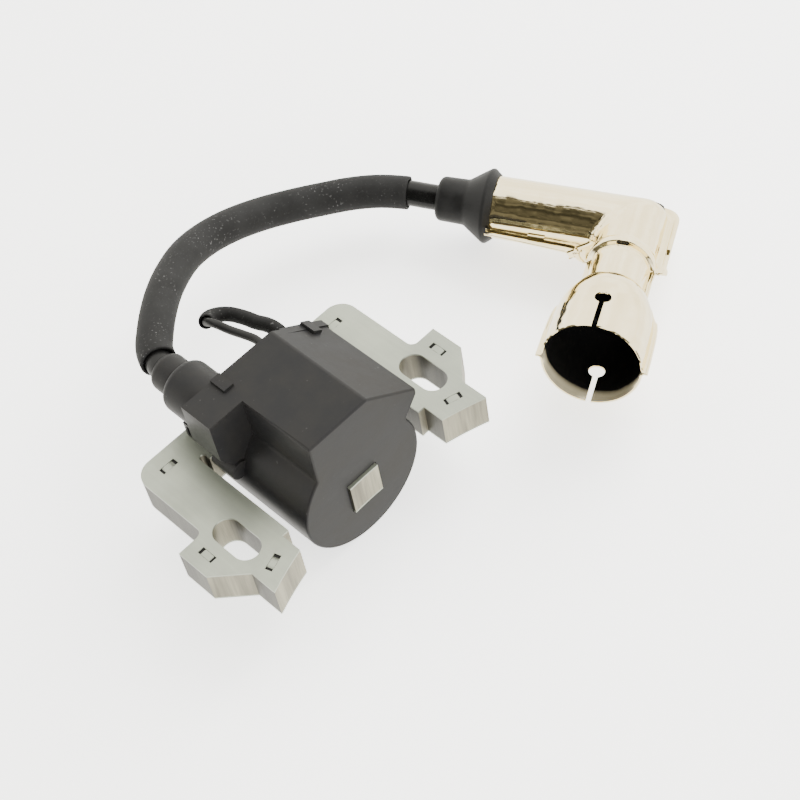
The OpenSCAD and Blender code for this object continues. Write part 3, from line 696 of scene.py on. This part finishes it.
def wound_copper():
    """Enamelled wire laid in close turns round the Y axis."""
    material, tree, shader, place = new_material("wound_copper", (0.55, 0.22, 0.08), 0.3, 0.9)
    turns = tree.nodes.new("ShaderNodeTexWave")
    turns.bands_direction = "Y"
    turns.inputs["Scale"].default_value = 900.0
    turns.inputs["Distortion"].default_value = 0.6
    tree.links.new(place, turns.inputs["Vector"])
    tone = ramp(tree, turns.outputs["Fac"], 0.1, 0.6, (0.20, 0.07, 0.03), (0.62, 0.27, 0.10))
    tree.links.new(tone, shader.inputs["Base Color"])
    bump(tree, shader, turns.outputs["Fac"], 0.6, 0.0001)
    return material


def circuit_board():
    """Green solder mask with paler copper tracks under it."""
    material, tree, shader, place = new_material("circuit_board", (0.03, 0.14, 0.06), 0.3)
    tracks = tree.nodes.new("ShaderNodeTexBrick")
    tracks.inputs["Scale"].default_value = 160.0
    tracks.inputs["Mortar Size"].default_value = 0.08
    tracks.inputs["Color1"].default_value = (0.03, 0.15, 0.06, 1)
    tracks.inputs["Color2"].default_value = (0.025, 0.12, 0.05, 1)
    tracks.inputs["Mortar"].default_value = (0.07, 0.28, 0.10, 1)
    tree.links.new(place, tracks.inputs["Vector"])
    tree.links.new(tracks.outputs["Color"], shader.inputs["Base Color"])
    bump(tree, shader, tracks.outputs["Fac"], 0.3, 0.0001)
    return material


def glazed_ceramic():
    """Off-white resistor body with a fine craze."""
    material, tree, shader, place = new_material("glazed_ceramic", (0.75, 0.70, 0.60), 0.25)
    craze = noise(tree, place, 500.0, 4.0)
    tone = ramp(tree, craze, 0.3, 0.7, (0.78, 0.73, 0.63), (0.66, 0.60, 0.50))
    tree.links.new(tone, shader.inputs["Base Color"])
    bump(tree, shader, craze, 0.1, 0.0001)
    return material


# ---------------------------------------------------------------- cords

def make_lead():
    """The lead and its loose sleeve, which covers only part of the route."""
    path = smooth_route(LEAD_ROUTE, ROUTE_STEPS)
    lead = cord_piece("lead_cable", path, LEAD_D, 32, "coil")
    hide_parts("ht_lead")
    first, last = SLEEVE_FIRST * ROUTE_STEPS, SLEEVE_LAST * ROUTE_STEPS
    sleeve = hose_piece("lead_sleeving", path[first:last + 1], SLEEVE_D, SLEEVE_BORE, 40, "coil")
    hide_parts("lead_sleeve")
    return lead, sleeve, path


def make_stop_wire():
    """The stop wire and the sleeve on its rear part."""
    path = smooth_route(STOP_ROUTE, ROUTE_STEPS)
    wire = cord_piece("stop_cable", path, STOP_D, 20, "coil")
    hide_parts("stop_wire")
    first, last = STOP_SLEEVE_FIRST * ROUTE_STEPS, STOP_SLEEVE_LAST * ROUTE_STEPS
    sleeve = hose_piece(
        "stop_sleeving", path[first:last + 1], STOP_SLEEVE_D, STOP_SLEEVE_BORE, 24, "coil"
    )
    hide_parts("stop_wire_sleeve")
    return wire, sleeve, path


lead, lead_sleeving, lead_path = make_lead()
stop_cable, stop_sleeving, stop_path = make_stop_wire()


# ---------------------------------------------------------------- plug cap

def shield_stations():
    """Stations from the boot to the mouth: (kind, value, radius). A value is a share of the body
    or of the elbow's corner, and a distance from the elbow on the socket."""
    stations = [("body", i / 16, CAP_R) for i in range(17)]
    stations += [("corner", i / 8, CAP_R) for i in range(1, 9)]
    rise = [(-1.1, CAP_R), (-0.6, CAP_R), (0, CAP_R + 0.15), (0.6, COLLAR_R - 0.15), (1.2, COLLAR_R)]
    collar = [(COLLAR_START + y, r) for y, r in rise]
    step = [
        (-0.6, COLLAR_R), (-0.35, COLLAR_R - 0.03), (-0.15, COLLAR_R - 0.15), (-0.05, COLLAR_R - 0.4),
        (0.02, NECK_R + 0.4), (0.12, NECK_R + 0.12), (0.35, NECK_R), (2.8, NECK_R),
    ]
    collar += [(COLLAR_FACE + y, r) for y, r in step]
    neck = [(NECK_END - 4, NECK_R), (NECK_END - 0.5, NECK_R), (NECK_END, NECK_R + 0.05)]
    bell = [
        (0.25, 0.3), (0.5, 0.65), (0.8, 0.98), (1.3, 1.4), (2.0, 1.85), (2.8, 2.3), (3.8, 2.78),
        (5.0, 3.25), (6.4, 3.75), (8.0, 4.2), (10.0, 4.6), (12.4, 4.85), (16, 5.0), (21, 5.1),
    ]
    bell = [(NECK_END + y, NECK_R + r) for y, r in bell] + [(MOUTH_AT, MOUTH_R)]
    return stations + [("socket", y, r) for y, r in collar + neck + bell]


def shield_point(station, u, n):
    """A point of the shield: u across the seam plane's width and n above it."""
    kind, value, radius = station
    scale = radius / CAP_R
    if kind == "socket":
        return Vector((u * scale, value, n * scale))
    fillet = INNER_FILLET + (OUTER_FILLET - INNER_FILLET) * max(-u / CAP_R, 0)**2
    if kind == "body":
        return Vector((BODY_END + (u + fillet - BODY_END) * value, u, n))
    turn = math.pi / 2 * value
    x = u + fillet * (1 - math.sin(turn))
    y = u + fillet * (1 - math.cos(turn))
    return Vector((x, y, n))


def flange_width(station, inner, wide):
    """How far the seam flange stands out at a station, on the inner or the outer side."""
    kind, value = station[:2]
    outer = 0.8 * wide
    narrow = 0.35 * wide
    if kind == "body":
        # The inner flange widens towards the elbow, and the outer one starts just before it
        return wide * (1 + 0.45 * value) if inner else outer * min(1, max(0, (value - 0.86) * 12))
    if kind == "corner":
        return wide * 1.45 if inner else outer
    if value < COLLAR_FACE - 0.4:
        fade = 1 - max(0, value - COLLAR_START) / 3.6
        return wide * 1.3 * fade if inner else outer
    # Along the socket it is narrow, and narrower still where the socket starts to widen
    return 0.5 if NECK_END <= value < NECK_END + 7 else narrow


def shield_half(name, node, side, wide, outside, inside):
    """One pressed half of the shield, from boot to mouth, with its seam flanges.

    Each station is a row of points: the flange on the inner side, an arc, the outer flange.
    """
    stations = shield_stations()
    around = 40
    least_flange = 0.06
    points = []
    for station in stations:
        scale = station[2] / CAP_R if station[0] == "socket" else 1
        edges = []
        for inner in (True, False):
            sign = 1 if inner else -1
            out = flange_width(station, inner, wide) / scale
            lift = (SEAM + SHEET) / scale
            reach = max(out, least_flange)
            edges.append([(sign * (CAP_R + part * reach), lift) for part in (1, 0.65, 0.25)])
        arc = []
        for k in range(around + 1):
            first = math.asin(lift / CAP_R) + 0.05
            turn = first + (math.pi - 2 * first) * k / around
            arc.append((CAP_R * math.cos(turn), CAP_R * math.sin(turn)))
        for u, n in edges[0] + arc + list(reversed(edges[1])):
            local = shield_point(station, u, n)
            points.append(CAP_FRAME @ (Vector((local.x, local.y, side * local.z)) * MM))
    columns = around + 7
    faces = []
    for i in range(len(stations) - 1):
        for k in range(columns - 1):
            a = i * columns + k
            faces.append((a, a + 1, a + columns + 1, a + columns))
    piece = add_piece(name, points, faces, "cap")
    face_outward(piece, side)
    # The sheet's inner side takes the next slot's material, which paints shade inside the shield:
    # flanges stay bright on both sides
    for material in (outside, inside, outside, outside):
        piece.data.materials.append(material)
    flange_slot = 2
    inverse = CAP_FRAME.inverted()
    for face in piece.data.polygons:
        heights = [abs((inverse @ piece.data.vertices[v].co).z) for v in face.vertices]
        if max(heights) < (SEAM + 1.2 * SHEET) * MM:
            face.material_index = flange_slot
    solid = piece.modifiers.new("sheet", "SOLIDIFY")
    solid.thickness = SHEET * MM
    solid.offset = -1
    solid.material_offset = 1
    apply_modifiers(piece)
    cut_keyhole(piece, side)
    if side > 0:
        cut_drain(piece)
    soften = piece.modifiers.new("edges", "BEVEL")
    soften.width = 0.08 * MM
    soften.segments = 2
    soften.angle_limit = math.radians(50)
    apply_modifiers(piece)
    smooth_by_angle(piece, 40)
    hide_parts(node)
    return piece


def face_outward(piece, side):
    """Makes an open half shell's faces point away from the cap's axes."""
    up = side * SEAM_AXIS
    top = max(piece.data.polygons, key=lambda face: face.center.dot(up))
    if top.normal.dot(up) < 0:
        piece.data.flip_normals()


def cut_prism(piece, start, end):
    """Cuts away a prism between two matching outlines, given in mm in the cap's frame."""
    count = len(start)
    points = [CAP_FRAME @ (Vector(p) * MM) for p in start + end]
    faces = [tuple(range(count)), tuple(range(count, 2 * count))]
    faces += [(k, (k + 1) % count, (k + 1) % count + count, k + count) for k in range(count)]
    cutter = add_piece("cutter", points, faces, "cap")
    cut = piece.modifiers.new("cut", "BOOLEAN")
    cut.operation = "DIFFERENCE"
    cut.solver = "EXACT"
    cut.object = cutter
    apply_modifiers(piece)
    bpy.data.objects.remove(cutter)


def cut_keyhole(piece, side):
    """The keyhole slot through the socket's wall, open at the mouth."""
    half = math.asin(KEYHOLE_SLOT / 2 / KEYHOLE_R)
    steps = 28
    outline = []
    for k in range(steps + 1):
        turn = math.pi / 2 + half + (2 * math.pi - 2 * half) * k / steps
        outline.append((KEYHOLE_R * math.cos(turn), KEYHOLE_AT + KEYHOLE_R * math.sin(turn)))
    outline += [(KEYHOLE_SLOT / 2, MOUTH_AT + 2), (-KEYHOLE_SLOT / 2, MOUTH_AT + 2)]
    low, high = side * 5, side * (MOUTH_R + 3.3)
    cut_prism(piece, [(x, y, low) for x, y in outline], [(x, y, high) for x, y in outline])


def cut_drain(piece):
    """The round-ended drain hole across the top of the collar's face."""
    reach = (DRAIN_L - DRAIN_W) / 2
    middle = (COLLAR_R + NECK_R) / 2
    steps = 10
    outline = []
    for end in (1, -1):
        for k in range(steps + 1):
            turn = end * math.pi / 2 - math.pi * k / steps
            outline.append((
                end * reach + DRAIN_W / 2 * math.cos(turn), middle + DRAIN_W / 2 * math.sin(turn),
            ))
    start, end = COLLAR_FACE - 0.7, COLLAR_FACE + 1.8
    cut_prism(piece, [(x, start, z) for x, z in outline], [(x, end, z) for x, z in outline])


def make_boot():
    """Rubber boot: a plug in the shield, a flared rim that laps over its end, and a nose."""
    bore = LEAD_D / 2 + 0.12
    lap_r = CAP_R + 0.03
    outline = [
        (BOOT_START, bore), (BOOT_START, BOOT_PLUG_R), (BODY_END + 0.1, BOOT_PLUG_R),
        (BODY_END + 0.1, lap_r), (BODY_END - 0.4, lap_r), (BODY_END - 0.4, CAP_R + 0.35),
        (BODY_END + 1.3, BOOT_RIM_R), (BODY_END + 2.0, BOOT_RIM_R - 0.05),
        (BOOT_END - 9.1, 7.1), (BOOT_END - 7.9, 6.25), (BOOT_END - 0.9, 6.1),
        (BOOT_END, 5.3), (BOOT_END, bore),
    ]
    boot = lathe("boot", rounded(outline, 0.7), CAP_FRAME, 96, "cap")
    smooth_by_angle(boot, 60)
    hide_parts("cap_boot")
    return boot


def make_tab(name, place, length):
    """A small folded tab that clips the two halves' flanges together.

    place turns (along the flange, across it, above the seam) into a point of the cap's frame.
    """
    outline = rounded([(0, -0.3), (1.5, -0.3), (1.5, 0.9), (0, 0.9)], 0.25)
    points = []
    for along in (-length / 2, length / 2):
        for across, up in outline:
            local = place(along, across, up)
            points.append(CAP_FRAME @ (Vector(local) * MM))
    count = len(outline)
    faces = [tuple(range(count)), tuple(range(count, 2 * count))]
    faces += [(k, (k + 1) % count, (k + 1) % count + count, k + count) for k in range(count)]
    tab = add_piece(name, points, faces, "cap")
    smooth_by_angle(tab, 40)
    return tab


plating = bright_plating()
shield_top = shield_half("shield_top", "shield_upper", 1, UPPER_FLANGE, plating, painted_shade_inside())
shield_bottom = shield_half("shield_bottom", "shield_lower", -1, LOWER_FLANGE, plating, painted_shade_inside())
boot = make_boot()
body_tab = make_tab("body_tab", lambda s, t, h: (24 + s, CAP_R + 1.2 + t, h), 4.5)
elbow_tab = make_tab("elbow_tab", lambda s, t, h: (-CAP_R - 1.9 - 0.6 * t, 6 + s, h), 3.0)


# ---------------------------------------------------------------- coil case and core

def case_copy():
    """A copy of the CAD case with the long moulded edges and the front's edges rounded."""
    piece = bpy.data.objects.new("case_moulding", bpy.data.objects["coil_case"].data.copy())
    bpy.context.scene.collection.objects.link(piece)
    work = bmesh.new()
    work.from_mesh(piece.data)
    bmesh.ops.remove_doubles(work, verts=work.verts, dist=1e-6)
    bmesh.ops.dissolve_limit(
        work, angle_limit=math.radians(1.0), verts=work.verts, edges=work.edges, delimit=set()
    )
    weight = work.edges.layers.float.new("bevel_weight_edge")
    for edge in work.edges:
        a, b = edge.verts
        corner = len(edge.link_faces) == 2 and edge.calc_face_angle(0.0) > math.radians(30)
        front = max(a.co.y, b.co.y) < (CASE_FRONT + 0.1) * MM
        lengthways = abs(a.co.y - b.co.y) > 0.9 * (b.co - a.co).length > 10 * MM
        # The edges of the hole for the core's leg stay sharp
        outer = min(a.co.xz.length, b.co.xz.length) > CASE_INNER_R * MM
        if corner and (front or lengthways) and outer:
            edge[weight] = 1.0
    work.to_mesh(piece.data)
    work.free()
    soften = piece.modifiers.new("edges", "BEVEL")
    soften.width = CASE_ROUND * MM
    soften.segments = 4
    soften.limit_method = "WEIGHT"
    soften.use_clamp_overlap = False
    apply_modifiers(piece)
    smooth_by_angle(piece, 32)
    flat = piece.modifiers.new("flat_faces", "WEIGHTED_NORMAL")
    flat.keep_sharp = True
    flat.weight = 100
    apply_modifiers(piece)
    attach(piece, "coil")
    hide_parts("coil_case")


def make_tongues():
    """The bent tongue in each interlock: it rises between the two ends of the recess, where shade is
    painted dark.
    """
    profile = [(-0.34, 0.04), (-0.26, 0.17), (-0.1, 0.25), (0.1, 0.25), (0.26, 0.17), (0.34, 0.04)]
    half_w = 0.46 * STAKE_W
    points = []
    faces = []
    for side in (1, -1):
        for x, y, turn in STAKES:
            place = Matrix.Translation((side * x, y, CORE_T - STAKE_DEEP))
            place = place @ Matrix.Rotation(side * math.radians(turn), 4, "Z")
            base = len(points)
            for along, up in profile:
                points += [place @ Vector((along * STAKE_L, w, up)) * MM for w in (-half_w, half_w)]
            faces += [(a, a + 1, a + 3, a + 2) for a in range(base, len(points) - 2, 2)]
    tongues = add_piece("interlock_tongues", points, faces, "coil")
    sheet = tongues.modifiers.new("sheet", "SOLIDIFY")
    sheet.thickness = 0.05 * MM
    sheet.offset = 0
    apply_modifiers(tongues)
    smooth_by_angle(tongues, 30)


case_copy()
make_tongues()


# ---------------------------------------------------------------- painting

paint(steel_sheet(), "core_top_sheet", "core_bottom_sheet", "interlock_tongues")
paint(steel_edges(), "core_sheets")
paint(case_plastic(), "case_moulding")
paint(poured_resin(), "potting_resin")
paint(black_insulation("lead_insulation", 0.22), "lead_cable")
paint(black_insulation("wire_insulation", 0.45), "stop_cable")
paint(speckled_sleeve("lead_sleeving", 0.016), "lead_sleeving")
paint(speckled_sleeve("stop_sleeving", 0.014), "stop_sleeving")
paint(moulded_rubber("boot_rubber", 0.010, 0.45), "boot")
paint(moulded_rubber("insulator_rubber", 0.008, 0.6), "cap_insulator")
paint(moulded_rubber("terminal_boot", 0.012, 0.45), "stop_terminal_boot")
paint(plating, "body_tab", "elbow_tab")
paint(plain_metal("brass", (0.72, 0.55, 0.25), 0.25), "lead_terminal", "cap_lead_screw", "plug_clip")
paint(plain_metal("tinned", (0.70, 0.70, 0.68), 0.3), "ground_strap", "stop_terminal")
paint(plain_metal("spring_steel", (0.55, 0.55, 0.56), 0.3), "cap_spring")
paint(moulded_nylon("bobbin_nylon", (0.70, 0.66, 0.55)), "primary_bobbin")
paint(moulded_nylon("bobbin_pbt", (0.62, 0.62, 0.58)), "secondary_bobbin")
paint(wound_copper(), "primary_winding", "secondary_winding")
paint(circuit_board(), "module_board")
paint(moulded_rubber("chip_plastic", 0.02, 0.4), "module_transistor", "module_parts")
paint(glazed_ceramic(), "cap_resistor")


# ---------------------------------------------------------------- lists of the cap's pieces

inner_parts = ["cap_insulator", "cap_lead_screw", "cap_resistor", "cap_spring", "plug_clip"]
cap_pieces = [boot, body_tab, elbow_tab, lead_sleeving, shield_top, shield_bottom]
cap_pieces += [bpy.data.objects[name] for name in inner_parts]
